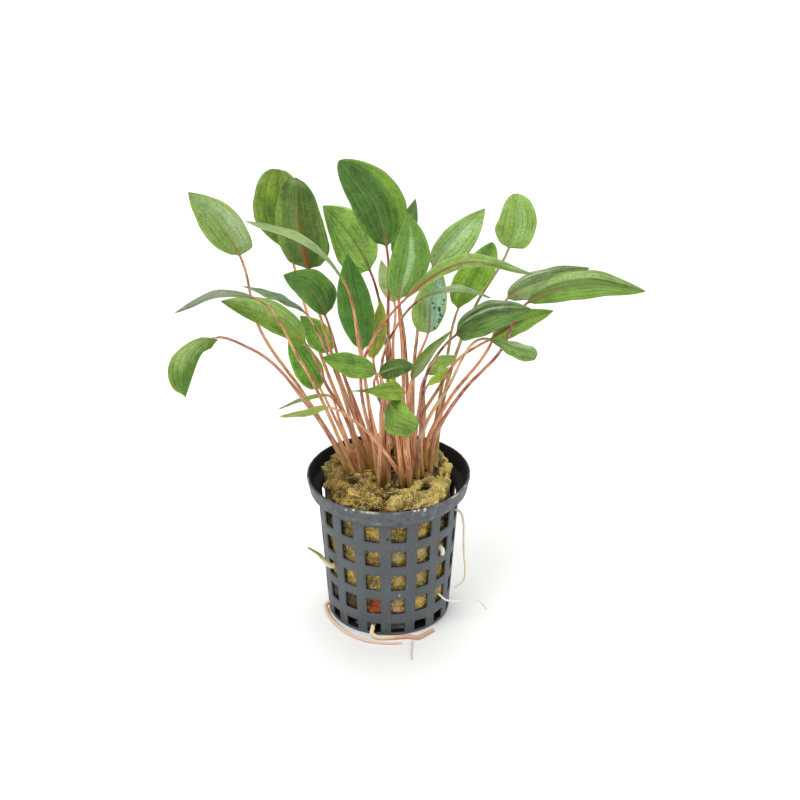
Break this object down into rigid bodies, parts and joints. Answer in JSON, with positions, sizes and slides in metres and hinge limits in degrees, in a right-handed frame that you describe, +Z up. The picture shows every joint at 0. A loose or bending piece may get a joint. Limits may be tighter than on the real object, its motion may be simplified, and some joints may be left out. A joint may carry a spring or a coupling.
{
  "type": "potted cryptocoryne",
  "caption": "Small clump of a marsh plant with oval green leaves on long pink stalks, standing in rock wool in a tapered plastic net pot.",
  "frame": {"origin": "centre of the pot's underside, on the surface that it stands on", "axes": "+Z up, -Y towards the front of the plant as pictured, +X to its right"},
  "size_m": [0.1499, 0.092, 0.1585],
  "materials": {
    "slate_plastic": "moulded slate grey plastic, lightly scuffed",
    "rock_wool_fibre": "damp olive-tan mineral wool, lumpy and fibrous",
    "rootstock": "dark rough rootstock",
    "leaf": "living leaf, satin green blade on a pink-brown stalk",
    "root_cream": "fleshy cream root with pink patches",
    "shoot_lime": "pale yellow-green young shoot"
  },
  "bodies": {
    "root": {"crown_back_left": "rootstock", "crown_back_right": "rootstock", "crown_front_left": "rootstock", "crown_front_right": "rootstock", "crown_left": "rootstock", "crown_right": "rootstock", "leaf_back_left_round": "leaf", "leaf_back_left_small": "leaf", "leaf_back_light": "leaf", "leaf_back_middle_left": "leaf", "leaf_back_pale": "leaf", "leaf_back_right_oval": "leaf", "leaf_back_tip": "leaf", "leaf_behind_arch": "leaf", "leaf_far_right": "leaf", "leaf_front_dark": "leaf", "leaf_front_flat": "leaf", "leaf_front_left": "leaf", "leaf_front_low": "leaf", "leaf_left_arching": "leaf", "leaf_left_drooping": "leaf", "leaf_left_edge_on": "leaf", "leaf_left_high": "leaf", "leaf_left_large": "leaf", "leaf_left_low": "leaf", "leaf_left_pointed": "leaf", "leaf_left_side_on": "leaf", "leaf_left_sliver_lower": "leaf", "leaf_left_sliver_upper": "leaf", "leaf_left_underside": "leaf", "leaf_middle_dark": "leaf", "leaf_middle_glossy": "leaf", "leaf_narrow_arch": "leaf", "leaf_pale_speckled": "leaf", "leaf_right_arching": "leaf", "leaf_right_curled": "leaf", "leaf_right_dark": "leaf", "leaf_right_dark_back": "leaf", "leaf_right_inner": "leaf", "leaf_right_round": "leaf", "leaf_right_small_lower": "leaf", "leaf_right_small_upper": "leaf", "leaf_rolled": "leaf", "leaf_tallest": "leaf", "net_pot": "slate_plastic", "rock_wool": "rock_wool_fibre", "root_front": "root_cream", "root_front_hair": "root_cream", "root_left": "root_cream", "root_right": "root_cream", "root_right_low": "root_cream", "root_tip_right": "root_cream", "side_shoot": "shoot_lime"}
  },
  "joints": []
}
